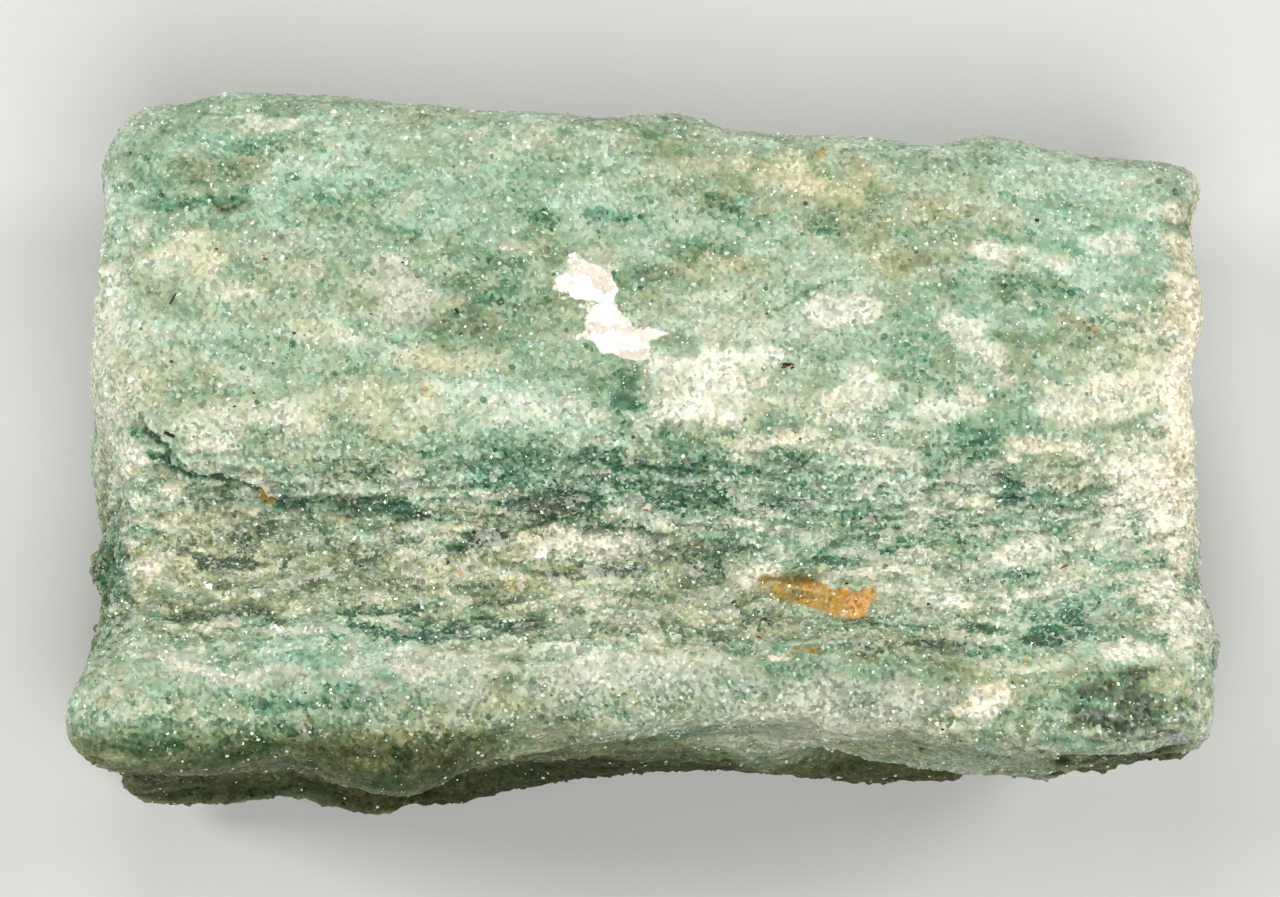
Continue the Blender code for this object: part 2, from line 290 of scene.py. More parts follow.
GREEN_ZONES = (
    (-25.4, 19.7, 3.6, 0.7, 0, 0.6), (-26.5, 21.0, 2.4, 0.6, 0, 0.45), (-34.4, 17.0, 1.4, 1.8, 0, 0.5),
    (-30.4, 15.8, 3.7, 0.8, 3, 0.72), (-29.2, 17.9, 2.4, 0.9, 0, 0.5), (-20.2, 14.7, 2.4, 1.4, 0, 0.6),
    (-18.6, 13.9, 2.0, 0.6, 0, 0.7), (-26.8, 11.4, 2.3, 0.6, 12, 0.55), (-23, 12.2, 3.0, 1.1, 5, 0.4),
    (-15.7, 17.0, 2.6, 0.8, 0, 0.5), (-16.0, 13.3, 1.9, 0.8, 0, 0.72), (-12.4, 10.4, 2.4, 1.2, 10, 0.62),
    (-14.6, 6.9, 2.9, 1.2, 8, 0.65), (-30, 2.8, 4.2, 0.6, 0, 0.4), (-34, 1.2, 2.0, 0.9, 0, 0.45),
    (-6.1, 19.0, 2.0, 0.7, 0, 0.45), (-7.3, 14.3, 2.2, 0.8, 0, 0.62), (-10.2, 9.4, 2.6, 1.8, 20, 0.62),
    (-1.4, 14.6, 1.6, 0.7, 0, 0.75), (6.5, 14.7, 2.7, 1.2, 0, 0.6), (2.8, 12.1, 2.8, 0.9, 0, 0.6),
    (12.4, 13.6, 1.2, 0.9, 0, 0.7), (-0.2, 10.5, 2.6, 1.6, 0, 0.55), (9.9, 9.1, 2.5, 0.35, 12, 0.7),
    (9.5, 12.6, 2.6, 0.9, 0, 0.5), (-1.4, 2.4, 1.4, 2.3, 0, 0.75), (-5.0, 3.4, 2.4, 1.2, 20, 0.4),
    (17.1, 5.0, 2.8, 1.8, 0, 0.5), (20.2, 14.0, 2.0, 1.3, 0, 0.5), (27.0, 15.8, 2.3, 1.4, 0, 0.5),
    (26.3, 9.6, 2.6, 1.5, -15, 0.6), (29.5, 6.5, 3.4, 2.0, 0, 0.25), (27.4, 3.4, 3.0, 0.9, -10, 0.35),
    (21.7, -1.3, 2.6, 1.2, 0, 0.66), (20.8, -3.1, 0.9, 0.7, 0, 0.75), (25.4, -3.9, 1.9, 0.7, 0, 0.75),
    (28.6, -6.0, 2.0, 1.6, 0, 0.35), (24.0, -6.5, 2.6, 0.8, 0, 0.35), (15.5, -2.6, 3.6, 1.4, 0, 0.3),
    (-17, -1.7, 7.0, 1.0, 0, 0.5), (-8.4, -1.2, 2.4, 0.9, 0, 0.55), (-4.2, -1.9, 3.0, 0.7, 5, 0.97),
    (-6.2, -4.8, 3.8, 0.9, 4, 0.97), (-10.2, -3.0, 2.0, 0.5, 0, 0.85), (3.2, -1.4, 2.8, 1.7, -5, 0.8),
    (1.6, -4.8, 1.6, 0.6, 0, 0.85), (5.6, -4.8, 1.4, 0.6, 0, 0.5), (9.3, -4.9, 1.5, 0.4, -5, 0.75),
    (8.6, -2.0, 2.2, 0.9, 0, 0.35), (-17.4, -4.7, 2.0, 0.7, 0, 0.92), (-13.4, -4.1, 1.6, 0.5, 0, 0.7),
    (-15.8, -6.8, 1.3, 0.4, -8, 0.85), (-11.2, -7.3, 2.4, 0.7, 6, 0.88), (-1.5, -6.4, 1.6, 0.3, 0, 0.75),
    (1.5, -7.4, 1.0, 0.8, 0, 0.85), (-2.0, -9.2, 2.0, 0.35, 0, 0.8), (3.9, -11.2, 0.8, 0.7, 0, 0.6),
    (13.0, -8.3, 2.2, 0.5, -4, 0.85), (16.6, -7.3, 2.6, 0.25, 0, 0.85), (-33.2, -0.4, 0.7, 0.6, 0, 0.8),
    (-32.3, -1.8, 0.5, 1.0, 20, 0.97), (-27.5, -6.9, 1.2, 0.9, 0, 0.5), (-33.0, -7.0, 1.4, 0.7, 0, 0.5),
    (-28.4, -8.3, 1.9, 0.45, -5, 0.92), (-24.8, -8.6, 0.9, 0.35, 0, 0.85),
    (-21.4, -11.0, 0.7, 0.5, 0, 0.6), (-16.1, -12.0, 2.0, 0.25, 2, 0.95),
    (-29.3, -12.3, 3.8, 0.4, -3, 0.7), (-15.5, -13.3, 6.6, 0.6, 0, 0.78),
    (-0.8, -13.9, 2.0, 0.5, 0, 0.55), (-10, -15.0, 1.4, 0.4, 0, 0.45), (6.0, -12.8, 2.2, 0.5, 0, 0.5),
    (17.4, -12.9, 4.0, 0.5, -5, 0.55), (20.8, -15.2, 4.6, 0.8, -6, 0.65), (-19, -12.0, 3, 0.5, 0, 0.7),
    (22.8, -13.4, 1.6, 0.4, 0, 0.7), (26.2, -14.0, 1.8, 0.6, 0, 0.8), (28.9, -12.9, 2.2, 1.4, 0, 0.55),
    (-25.9, -19.6, 2.5, 0.7, 0, 0.6), (32.8, -19.3, 5.0, 2.5, 0, 0.85), (-30.0, -20.6, 8.0, 1.4, 0, 0.6),
    (-14, -20.8, 7, 1.2, 0, 0.5), (8.6, -17.6, 1.4, 1.2, 0, 0.4), (-6.5, -15.2, 4.0, 0.8, 0, 0.35),
    (28, -19.2, 2.4, 2.2, 0, 0.3), (-14, -2.7, 13, 1.3, -4, 0.32), (-6, -3.6, 9.5, 2.4, -4, 0.62),
    (0.5, -3.4, 6, 1.7, 0, 0.5), (-0.5, -6.8, 4.0, 1.2, 0, 0.5), (-20, -4.9, 5, 0.8, -3, 0.5),
    (-21.0, -18.3, 5.5, 0.9, 0, 0.75), (0.0, -18.5, 7.0, 1.0, 3, 0.6), (-21, 15.5, 5.0, 2.6, 0, 0.6),
    (-18, 12, 6.5, 2.6, 0, 0.45), (26, 12.5, 6.0, 1.8, 0, 0.35), (-24.6, -4.4, 1.5, 0.45, -14, 0.75),
    (19, -4.2, 3.0, 0.7, 0, 0.35), (-13.5, -9.3, 2, 0.5, 0, 0.4), (26, -9.4, 3.0, 0.5, 0, 0.45),
    (-4, -14.8, 3.5, 0.6, 0, 0.42), (5.5, -14.9, 2.0, 0.6, 0, 0.5), (15, -14.9, 3, 0.6, 0, 0.45),
    (5.5, -17.8, 2.2, 0.9, 0, 0.45), (13, -17.6, 2.4, 0.8, 0, 0.45), (-36.6, -9.0, 1.6, 4.0, 0, 0.7),
    (18, -6.5, 6.0, 1.6, 0, 0.3), (12, -3.2, 4.0, 1.2, 0, 0.35), (30.5, -17.6, 3.2, 1.0, 0, 0.6),
)
WARM_ZONES = (
    (-28.6, 17.8, 3.4, 1.3, 0, 0.7), (-20.4, 15.2, 2.2, 1.2, 0, 0.6), (-23, 20.2, 2.6, 0.6, 0, 0.5),
    (-28.4, 15.2, 1.6, 0.4, 0, 0.8), (-31.2, 11.7, 2.8, 1.6, -5, 0.35), (-21.4, 6.2, 2.2, 0.9, 0, 0.4),
    (-14.4, 7.4, 2.8, 1.4, 8, 0.6), (-12, 4.2, 5.2, 0.9, -3, 0.5), (10.6, 17.2, 3.3, 1.9, 0, 0.7),
    (17.2, 11.5, 2.9, 1.0, 0, 0.75), (19.4, 15.0, 2.0, 0.8, 10, 0.7), (14.2, 14.0, 2.8, 1.4, 0, 0.55),
    (28.5, 7.4, 1.4, 0.6, 0, 0.8), (3.6, 11.0, 4.4, 1.0, 0, 0.45), (25.8, 9.4, 2.0, 1.0, 0, 0.4),
    # The first row tints the right end cream: partly its own colour, partly painted light where the end
    # glows.
    (37.2, 8, 1.6, 14, 0, 1.0), (35.6, -4.4, 3.4, 3.0, 15, 0.7), (21.4, -1.8, 1.0, 0.5, 0, 0.5),
    (-2, -10.5, 36, 4.5, 0, 0.45), (0, -19.5, 38, 3.4, 0, 0.45), (-28, -8, 8.5, 3.6, 0, 0.6),
    (-28, -11.6, 6.5, 1.4, 0, 0.6), (-12, -9.8, 7.5, 1.2, 0, 0.7), (-4, -7.4, 4.0, 1.0, 0, 0.5),
    (1.5, -12.8, 5.5, 1.2, 0, 0.6), (7.8, -13.2, 3.2, 1.6, 0, 0.85), (15, -12.0, 5.5, 0.7, 0, 0.6),
    (34.8, -17.6, 3.2, 0.9, 0, 0.75), (32.5, -19.8, 5, 2.2, 0, 0.8), (14, -14.5, 6.0, 1.1, 0, 0.7),
    (-34.2, -2.1, 2.3, 1.3, 0, 0.5), (-25.5, -4.0, 1.4, 0.6, -14, 0.7), (-20, -2.2, 5, 0.8, 0, 0.35),
)
GREY_ZONES = (
    (-17.0, 9.4, 2.0, 2.6, 0, 0.8), (-22, 12.8, 5.0, 1.2, 0, 0.35), (13.6, 7.6, 2.0, 1.2, 8, 0.4),
    (22.8, 6.2, 2.2, 1.6, -45, 0.5), (23.1, -3.2, 1.7, 0.8, 0, 0.7), (-14.3, -16.4, 5.4, 1.8, 2, 0.6),
    (0.5, -17.0, 8.0, 1.5, 0, 0.7), (14.5, -18.6, 6.0, 1.6, 0, 0.8), (22, -10, 4.5, 1.2, 0, 0.35),
    (-2, -7.8, 4.0, 0.9, 0, 0.45), (-28, -16.5, 6, 0.8, 0, 0.5), (11, 7, 4, 1.4, 0, 0.3),
)
MILK_ZONES = (
    (-3.9, 9.7, 1.8, 1.6, -20, 1.3), (-4.4, 11.3, 1.2, 0.6, -20, 0.7), (-2.6, 7.5, 1.8, 1.2, -30, 1.2),
    (-1.8, 6.4, 2.5, 1.2, -14, 1.3), (-9.1, 12.4, 0.8, 0.35, 10, 0.6), (-6.9, -8.3, 0.55, 0.3, 20, 1.0),
    (-24.7, -13.3, 0.6, 0.2, -8, 0.8), (18.2, -5.0, 0.6, 0.2, 0, 0.7), (9.3, -15.6, 0.7, 0.18, -8, 0.8),
    (-29.4, -10.4, 0.3, 0.3, 0, 1.0), (25.4, -16.4, 0.6, 0.25, 0, 0.6),
)
OCHRE_ZONES = (
    (9.6, -10.4, 2.7, 0.95, -8, 0.95), (13.4, -11.3, 2.1, 0.95, -12, 1.1),
    (12.0, -11.0, 3.6, 0.8, -12, 1.0), (10.9, -15.2, 0.9, 0.3, 0, 0.75),
    (-25.6, -4.4, 0.7, 0.4, -15, 0.9), (12.1, 19.2, 0.6, 0.5, 0, 0.6), (7.7, -13.9, 0.5, 0.3, 0, 0.6),
    (-31.2, 19.0, 0.6, 0.3, 0, 0.4), (-9.0, -10.4, 1.2, 0.3, 10, 0.45),
)

# The dark weathered crust, partly painted shade: the place of each patch, its reach along X, Y and Z, and
# its strength
SHADE_AND_CRUST_ZONES = (
    (-24.0, -22.4, 24.2, 5.2, 1.8, 3.5, 0.45), (-14.0, -23.4, 22, 8.5, 2.4, 6.0, 0.45),
    (-12.2, -22.0, 6, 12.0, 2.6, 8.0, 1.1), (-2.0, -21.0, 7, 12.0, 2.4, 7.0, 1.1),
    (18.5, -21.8, 6, 13.0, 2.8, 8.0, 0.9), (33, -21.5, 11, 7.0, 3.0, 9.0, 0.7),
    (-38.6, -9.0, 17, 3.0, 7.0, 9.0, 0.3), (10.3, -9.7, 24, 2.2, 0.5, 4, 0.55),
    (31.4, -17.2, 25, 0.5, 0.3, 2, 0.6),
)


def zone_amount(places, zones, wobble):
    """How much of a mineral there is at each place, from the strongest zone there."""
    amount = np.zeros(len(places))
    for x, y, half_length, half_width, turn, strength in zones:
        angle = math.radians(turn)
        away_x = places[:, 0] - x
        away_y = places[:, 1] - y
        along = away_x * math.cos(angle) + away_y * math.sin(angle)
        across = away_y * math.cos(angle) - away_x * math.sin(angle)
        reach = np.hypot(along / half_length, across / half_width)
        amount = np.maximum(amount, strength * (1 - eased(reach + 0.65 * wobble, 0.6, 1.35)))
    return amount


def neighbour_mean(values, first, second):
    """The mean of each point's neighbours, along the mesh's edges."""
    count = np.bincount(first, minlength=len(values)) + np.bincount(second, minlength=len(values))
    total = np.zeros_like(values)
    for column in range(values.shape[1]):
        total[:, column] = (np.bincount(first, values[second, column], len(values))
                            + np.bincount(second, values[first, column], len(values)))
    return total / count[:, None]


def hollowness(mesh, rounds):
    """Above 0 in creases and below 0 on edges, in mm, against the smoothed surface."""
    ends = np.empty(len(mesh.edges) * 2, dtype=np.int64)
    mesh.edges.foreach_get("vertices", ends)
    first, second = ends[0::2], ends[1::2]
    places = places_of(mesh)
    smooth = places
    for _ in range(rounds):
        smooth = neighbour_mean(smooth, first, second)
    return ((smooth - places) * normals_of(mesh)).sum(axis=1)


def patch_tone(places, size, seed):
    """A tone from -1 to 1 that is even within each patch of about this size in mm."""
    scaled = (places / np.array(size) + 5.7 * seed).tolist()
    return np.array([noise.cell(noise.voronoi(p)[1][0] * 53.0) for p in scaled])


places = places_of(stone_mesh)
bed = bedded(places)
warp = shifts(places, (5, 3.5, 3.5), (45, 46, 47), 4)
drawn = places + warp * (2.0, 1.1, 0.7)
top_side = eased(places[:, 2] + 3.5 * warp[:, 0], 8, 17)
wobble = lumps(places, (2.4, 1.0, 1.4), 41, 4)
streaks = lumps(bed, (9, 3.4, 1.3), 42, 4)
threads = lumps(bed, (4.5, 0.9, 0.5), 43, 3)
clouds = lumps(bed, (14, 8, 3), 44, 3)
warm_threads = lumps(bed, (6, 1.0, 0.6), 51, 2)
patches = (0.65 * patch_tone(drawn, (6.5, 3.8, 3.8), 48)
           + 0.35 * patch_tone(drawn, (2.6, 1.5, 1.5), 49))
layered = top_side * eased(-places[:, 1], 0.8, 4.2) * eased(places[:, 1], -17.0, -13.5)
sheets = 0.75 * coarse_tone + 0.25 * fine_tone
chips = lumps(drawn, (1.7, 0.8, 0.8), 50, 2)
chipped_share = 0.2 + 0.8 * layered
ridge = top_side * eased(-places[:, 1], 14.5, 17.0)

pale = top_side * zone_amount(drawn, PALE_ZONES, wobble) + 0.22 * chips * chipped_share
deep = (top_side * zone_amount(drawn, GREEN_ZONES, wobble) * (0.72 + 0.28 * layered)
        - 0.2 * chips * chipped_share)
green = (0.51 + 0.06 * layered + 0.06 * ridge + 0.10 * streaks + 0.13 * patches
         + (0.04 + 0.20 * layered) * sheets + (0.05 + 0.13 * layered) * threads)
warm = (0.43 + 0.30 * clouds + 0.20 * sheets + 0.20 * patches + 0.30 * layered * warm_threads
        + 0.6 * top_side * zone_amount(drawn, WARM_ZONES, wobble))

# Painted shadow: the open ledge is deep green just below its edge
ledge_shadow = np.exp(-(near_ledge / 0.5) ** 2) * (1 - eased(above_ledge, 0.0, 0.35)) * is_top
deep = np.maximum(deep, 1.35 * ledge_shadow)
grey = top_side * zone_amount(drawn, GREY_ZONES, wobble)
milk = top_side * zone_amount(places + 0.35 * warp, MILK_ZONES, wobble)
ochre = top_side * zone_amount(places + 0.4 * warp, OCHRE_ZONES, wobble)

# Rust lies thin at the left of its largest stain and thick at the right
rust = 0.2 + 0.6 * eased(places[:, 0] + 0.8 * wobble, 9.5, 14.5)

# The crust, partly painted shade, covers the front up to its top, lower on the right half, and the rim at
# its left end
SHADE_AND_CRUST_TOP = 25.5
SHADE_AND_CRUST_DROP = 10
SHADE_AND_CRUST_FADE = 12
dark = np.zeros(len(places))
for x, y, z, size_x, size_y, size_z, strength in SHADE_AND_CRUST_ZONES:
    reach = np.linalg.norm((places - (x, y, z)) / (size_x, size_y, size_z), axis=1)
    dark = np.maximum(dark, strength * (1 - eased(reach + 0.35 * wobble, 0.5, 1.3)))
shade_and_crust_top = SHADE_AND_CRUST_TOP - SHADE_AND_CRUST_DROP * eased(places[:, 0], 1, 8)
low_front = eased(-places[:, 1], 18.6, 21.6) * (1 - eased(places[:, 2], shade_and_crust_top - SHADE_AND_CRUST_FADE, shade_and_crust_top))
left_rim = eased(-places[:, 1], 19.2, 22.4) * (1 - eased(places[:, 0], -13, -7))
front_shade_and_crust = np.maximum(low_front, 0.8 * left_rim)
front_shade_and_crust = front_shade_and_crust * (0.84 + 0.3 * streaks + 0.25 * wobble + 0.12 * chips)
dark = np.maximum(dark, front_shade_and_crust)

# Creases get painted shade and dirt, and edges are bruised
crease = 6 * hollowness(stone_mesh, 3) + 2 * hollowness(stone_mesh, 20)

minerals_and_shade = {"green": green, "pale": pale, "deep": deep, "warm": warm, "grey": grey, "milk": milk,
            "ochre": ochre, "rust": rust, "dark": dark, "crease": crease, "layered": layered}


def store(mesh, name, values):
    """Stores a value at each point of the mesh, for its material to read."""
    layer = mesh.attributes.new(name, "FLOAT", "POINT")
    layer.data.foreach_set("value", values.astype(np.float32))


for name, amount in minerals_and_shade.items():
    store(stone_mesh, name, amount)


# Stone, material
# Green mica quartzite, broken and not polished: translucent quartz grains, some milky,
# some green from the mica between them. The light sinks in a little, the breaks
# scatter it, and single grains and mica faces flash.
QUARTZ_IOR = 1.54
GRAINS_PER_MM = 4
CLOTS_PER_MM = 1.5
WISPS_PER_MM = 1.3


def linear(hex_colour):
    """An sRGB colour such as "8FB79C" as linear red, green, blue and alpha."""
    parts = [int(hex_colour[i:i + 2], 16) / 255 for i in (0, 2, 4)]
    return [c / 12.92 if c <= 0.04045 else ((c + 0.055) / 1.055) ** 2.4 for c in parts] + [1]


def added(tree, kind, inputs=(), stops=(), **settings):
    """Adds one node with its settings, its colour stops, and its values or links."""
    new = tree.nodes.new(kind)
    for name, value in settings.items():
        setattr(new, name, value)
    for place, _ in stops[:len(stops) - 2]:
        new.color_ramp.elements.new(place)
    for element, (place, colour) in zip(new.color_ramp.elements if stops else (), stops):
        element.position = place
        element.color = linear(colour)
    for key, value in dict(inputs).items():
        if isinstance(value, bpy.types.NodeSocket):
            tree.links.new(value, new.inputs[key])
        else:
            new.inputs[key].default_value = value
    return new


def quartzite_material(name):
    """Aventurine quartzite, coloured by the minerals and the painted shade stored on the mesh."""
    material = bpy.data.materials.new(name)
    material.use_nodes = True
    tree = material.node_tree
    tree.nodes.clear()
    place = added(tree, "ShaderNodeTexCoord").outputs["Object"]
    stored = {key: added(tree, "ShaderNodeAttribute", attribute_name=key).outputs["Fac"]
              for key in minerals_and_shade}

    # Grains of about 0.25 mm, each with its own lightness, in clots of about 1.5 by 0.7 mm
    grain = added(tree, "ShaderNodeTexVoronoi", {"Vector": place, "Scale": GRAINS_PER_MM / MM})
    flat_place = added(tree, "ShaderNodeMapping",
                       {"Vector": grain.outputs["Position"], "Scale": (0.45, 1.0, 1.3)})
    clot = added(tree, "ShaderNodeTexVoronoi",
                 {"Vector": flat_place.outputs[0], "Scale": CLOTS_PER_MM / MM})
    grain_value = added(tree, "ShaderNodeSeparateColor", {0: grain.outputs["Color"]})
    clot_value = added(tree, "ShaderNodeSeparateColor", {0: clot.outputs["Color"]})
    grain_part = added(tree, "ShaderNodeMath", {0: grain_value.outputs[0], 1: -0.5}, operation="ADD")
    clot_part = added(tree, "ShaderNodeMath", {0: clot_value.outputs[0], 1: -0.5}, operation="ADD")

    # Wisps along the layers, about 2 mm long and 0.5 mm thick
    snapped = added(tree, "ShaderNodeMix", {"Factor": 0.7, "A": place, "B": grain.outputs["Position"]},
                    data_type="VECTOR")
    stretched = added(tree, "ShaderNodeMapping",
                      {"Vector": snapped.outputs["Result"], "Scale": (0.36, 1.0, 1.6)})
    wisp = added(tree, "ShaderNodeTexNoise",
                 {"Vector": stretched.outputs[0], "Scale": WISPS_PER_MM / MM,
                  "Detail": 3, "Roughness": 0.7})
    wisp_part = added(tree, "ShaderNodeMath", {0: wisp.outputs["Fac"], 1: -0.5}, operation="ADD")
    speckled = added(tree, "ShaderNodeMath", {0: grain_part.outputs[0], 1: 0.40, 2: wisp_part.outputs[0]},
                     operation="MULTIPLY_ADD")
    raggedness = added(tree, "ShaderNodeMath", {0: stored["layered"], 1: 0.35, 2: 0.40},
                       operation="MULTIPLY_ADD")
    edges = added(tree, "ShaderNodeMath", {0: speckled.outputs[0], 1: raggedness.outputs[0]},
                  operation="MULTIPLY")

    def edged(attribute, low, high, breakup):
        """Where a mineral is, from 0 to 1, with an edge broken by grains and wisps."""
        broken = added(tree, "ShaderNodeMath", {0: edges.outputs[0], 1: breakup, 2: stored[attribute]},
                       operation="MULTIPLY_ADD")
        share = added(tree, "ShaderNodeMapRange",
                      {"Value": broken.outputs[0], "From Min": low, "From Max": high},
                      interpolation_type="SMOOTHSTEP")
        return share.outputs[0]

    # The green mica, broken up by wisps and single grains
    wispy = added(tree, "ShaderNodeMath", {0: clot_part.outputs[0], 1: 0.65, 2: wisp_part.outputs[0]},
                  operation="MULTIPLY_ADD")
    mixed = added(tree, "ShaderNodeMath", {0: grain_part.outputs[0], 1: 0.4, 2: wispy.outputs[0]},
                  operation="MULTIPLY_ADD")
    uneven = added(tree, "ShaderNodeMath", {0: stored["layered"], 1: 0.22, 2: 0.24},
                   operation="MULTIPLY_ADD")
    grainy = added(tree, "ShaderNodeMath", {0: mixed.outputs[0], 1: uneven.outputs[0], 2: stored["green"]},
                   operation="MULTIPLY_ADD")
    deepened = added(tree, "ShaderNodeMath", {0: edged("deep", 0.15, 0.95, 1.1), 1: 0.56,
                                              2: grainy.outputs[0]}, operation="MULTIPLY_ADD")
    bleached = added(tree, "ShaderNodeMath", {0: edged("pale", 0.10, 0.85, 0.9), 1: -0.44,
                                              2: deepened.outputs[0]}, operation="MULTIPLY_ADD")
    cool = added(tree, "ShaderNodeValToRGB", {"Fac": bleached.outputs[0]}, stops=(
        (0.0, "D9DFCF"), (0.18, "C2CCB8"), (0.38, "A0B8A0"), (0.58, "7AA083"),
        (0.78, "418461"), (1.0, "165A3C")))
    olive = added(tree, "ShaderNodeValToRGB", {"Fac": bleached.outputs[0]}, stops=(
        (0.0, "E8DFC4"), (0.18, "D3CAAA"), (0.38, "B3B18B"), (0.58, "8B936B"),
        (0.78, "5F6E48"), (1.0, "35442B")))

    # Iron and clay warm the colour in clouds
    warm_grains = added(tree, "ShaderNodeMath", {0: clot_value.outputs[1], 1: 0.4, 2: -0.2},
                        operation="MULTIPLY_ADD")
    warm_sum = added(tree, "ShaderNodeMath", {0: stored["warm"], 1: warm_grains.outputs[0]},
                     operation="ADD", use_clamp=True)
    tinted = added(tree, "ShaderNodeMix", {"Factor": warm_sum.outputs[0], "A": cool.outputs[0],
                                           "B": olive.outputs[0]}, data_type="RGBA")

    def laid(colour, share, top):
        """The colour with another laid over it where the share is 1."""
        mix = added(tree, "ShaderNodeMix", {"Factor": share, "A": colour, "B": top}, data_type="RGBA")
        return mix.outputs["Result"]

    grey_share = added(tree, "ShaderNodeMath", {0: stored["grey"], 1: 0.55}, operation="MULTIPLY")
    colour = laid(tinted.outputs["Result"], grey_share.outputs[0], linear("B9B9AC"))

    # Painted shadow: thin dark lines under the broken edges of the layers where they crop out
    shadow_line = added(tree, "ShaderNodeMath", {0: wisp_part.outputs[0]}, operation="ABSOLUTE")
    shadow_line_share = added(tree, "ShaderNodeMapRange", {"Value": shadow_line.outputs[0], "From Max": 0.035,
                                                       "To Min": 0.45, "To Max": 0.0})
    shadow_line_here = added(tree, "ShaderNodeMath", {0: shadow_line_share.outputs[0], 1: stored["layered"]},
                         operation="MULTIPLY")
    colour = laid(colour, shadow_line_here.outputs[0], linear("3A4A38"))

    # Beside each painted shadow line the broken lip of the layer is white
    beside = added(tree, "ShaderNodeMath", {0: wisp_part.outputs[0], 1: 0.055}, operation="SUBTRACT")
    lip = added(tree, "ShaderNodeMath", {0: beside.outputs[0]}, operation="ABSOLUTE")
    lip_share = added(tree, "ShaderNodeMapRange", {"Value": lip.outputs[0], "From Max": 0.022,
                                                   "To Min": 0.35, "To Max": 0.0})
    lip_here = added(tree, "ShaderNodeMath", {0: lip_share.outputs[0], 1: stored["layered"]},
                     operation="MULTIPLY")
    colour = laid(colour, lip_here.outputs[0], linear("E6E8DA"))

    # Torn plates of milky quartz lie between the layers
    plate = added(tree, "ShaderNodeMapRange", {"Value": clot_value.outputs[1], "From Min": 0.84,
                                               "From Max": 0.88, "To Max": 0.36})
    plate_here = added(tree, "ShaderNodeMath", {0: plate.outputs[0], 1: stored["layered"]},
                       operation="MULTIPLY")
    colour = laid(colour, plate_here.outputs[0], linear("D9DCCA"))

    # Rust stains: olive brown where they are thin, orange where they are thick
    rust_step = added(tree, "ShaderNodeMath", {0: clot_part.outputs[0], 1: 0.5, 2: stored["rust"]},
                      operation="MULTIPLY_ADD")
    rusty = added(tree, "ShaderNodeValToRGB", {"Fac": rust_step.outputs[0]}, stops=(
        (0.0, "857A3A"), (0.35, "A38230"), (0.75, "BD8532"), (1.0, "C79A50")))
    colour = laid(colour, edged("ochre", 0.20, 0.90, 1.5), rusty.outputs[0])

    # Creases darken with painted shade, dirt and dark mica, and bruised edges are whiter
    crease_shade_and_dirt = added(tree, "ShaderNodeMapRange", {"Value": stored["crease"], "From Min": 0.15,
                                                   "From Max": 1.6, "To Max": 0.45})
    on_edge = added(tree, "ShaderNodeMapRange", {"Value": stored["crease"], "From Min": -0.25,
                                                 "From Max": -1.6, "To Max": 0.32})
    colour = laid(colour, crease_shade_and_dirt.outputs[0], linear("43553F"))
    colour = laid(colour, on_edge.outputs[0], linear("E9ECE2"))

    # Each grain is a little lighter or darker than the next
    grain_light = added(tree, "ShaderNodeMapRange", {"Value": grain_value.outputs[1],
                                                     "To Min": 0.64, "To Max": 1.26})
    grained = added(tree, "ShaderNodeVectorMath", {0: colour, 1: grain_light.outputs[0]},
                    operation="MULTIPLY")
    colour = grained.outputs[0]

    # Painted shade and the weathered crust darken the front and its ends
    shade_and_crust = added(tree, "ShaderNodeValToRGB", {"Fac": stored["dark"]}, stops=(
        (0.0, "FFFFFF"), (0.3, "D0CDB2"), (0.6, "9C997B"), (1.0, "6E6A52")))
    shaded_and_weathered = added(tree, "ShaderNodeMix", {"Factor": 1.0, "A": colour, "B": shade_and_crust.outputs[0]},
                      data_type="RGBA", blend_type="MULTIPLY")
    colour = shaded_and_weathered.outputs["Result"]

    # Milky quartz comes last, white with a few stained grains
    milky = added(tree, "ShaderNodeValToRGB", {"Fac": clot_value.outputs[2]}, stops=(
        (0.0, "FAF8F2"), (0.5, "F3EFE7"), (0.8, "E0D4C4"), (1.0, "CDC2B0")))
    colour = laid(colour, edged("milk", 0.40, 0.72, 1.9), milky.outputs[0])

    # Each grain is a broken face with its own tilt, so that it catches the light
    face_normal = added(tree, "ShaderNodeNewGeometry")
    grain_tilt = added(tree, "ShaderNodeVectorMath",
                       {0: grain.outputs["Color"], 1: (0.65, 0.65, 0.65), 2: face_normal.outputs["Normal"]},
                       operation="MULTIPLY_ADD")
    clot_tilt = added(tree, "ShaderNodeVectorMath",
                      {0: clot.outputs["Color"], 1: (0.45, 0.45, 0.45), 2: grain_tilt.outputs[0]},
                      operation="MULTIPLY_ADD")
    centred = added(tree, "ShaderNodeVectorMath", {0: clot_tilt.outputs[0], 1: (-0.55, -0.55, -0.55)},
                    operation="ADD")
    facet = added(tree, "ShaderNodeVectorMath", {0: centred.outputs[0]}, operation="NORMALIZE")
    rough = added(tree, "ShaderNodeMapRange", {"Value": grain_value.outputs[2], "From Min": 0.6,
                                               "To Min": 0.60, "To Max": 0.12})
    shine = added(tree, "ShaderNodeMapRange", {"Value": stored["dark"], "To Min": 0.5, "To Max": 0.05})
    shader = added(tree, "ShaderNodeBsdfPrincipled", {
        "Base Color": colour, "Roughness": rough.outputs[0], "IOR": QUARTZ_IOR,
        "Specular IOR Level": shine.outputs[0],
        "Subsurface Weight": 0.12, "Subsurface Radius": (0.8, 1.2, 0.9), "Subsurface Scale": MM,
        "Normal": facet.outputs[0]})
    added(tree, "ShaderNodeOutputMaterial", {"Surface": shader.outputs[0]})
    return material


